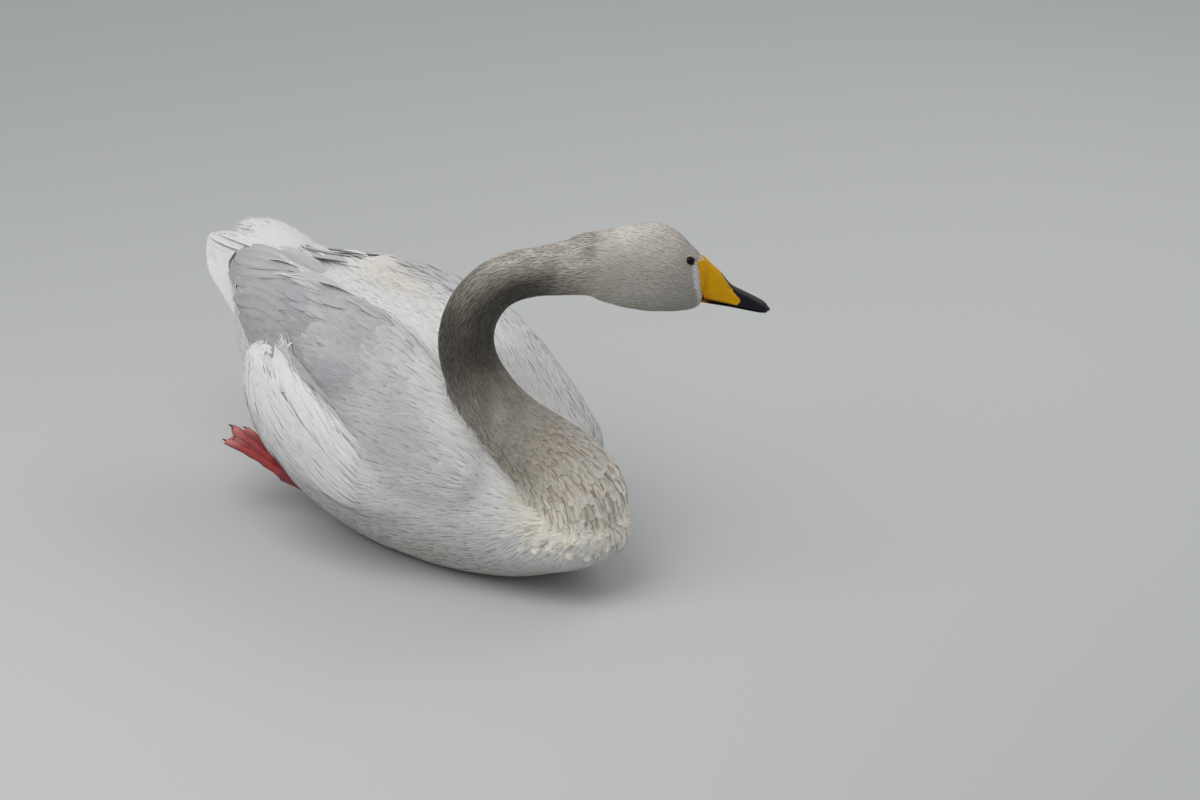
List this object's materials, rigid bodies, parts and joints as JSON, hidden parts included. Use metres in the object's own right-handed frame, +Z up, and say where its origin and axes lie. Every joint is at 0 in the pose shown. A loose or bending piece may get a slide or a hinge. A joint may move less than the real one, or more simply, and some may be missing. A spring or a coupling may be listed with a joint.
{
  "type": "whooper swan",
  "caption": "Life-size still whooper swan sitting as it floats, neck bent back in a curve and head reached forward and down to its left.",
  "frame": {"origin": "on the floor, in the middle of the flat that the belly rests on", "axes": "+X from tail to breast, +Y to the bird's left, +Z up"},
  "size_m": [0.7478, 0.4256, 0.4681],
  "materials": {
    "white_plumage": "soft white feathers",
    "neck_plumage": "short grey-brown feathers, stained",
    "head_plumage": "short grey-beige feathers",
    "bill_yellow": "smooth yellow horn",
    "bill_black": "smooth black horn",
    "eye": "wet dark eye",
    "foot_skin": "scaled pink-red skin"
  },
  "bodies": {
    "root": {"trunk": "white_plumage", "neck_base": "neck_plumage", "neck_lower": "neck_plumage", "neck_middle": "neck_plumage", "neck_bend": "neck_plumage", "neck_upper": "neck_plumage", "head": "head_plumage", "bill_upper": "bill_yellow", "bill_lower": "bill_black", "eye_left": "eye", "eye_right": "eye", "wing_left": "white_plumage", "wing_right": "white_plumage", "flank_left": "white_plumage", "flank_right": "white_plumage", "tail": "white_plumage", "leg_left": "foot_skin", "leg_right": "foot_skin", "foot_left": "foot_skin", "foot_right": "foot_skin"}
  },
  "joints": []
}
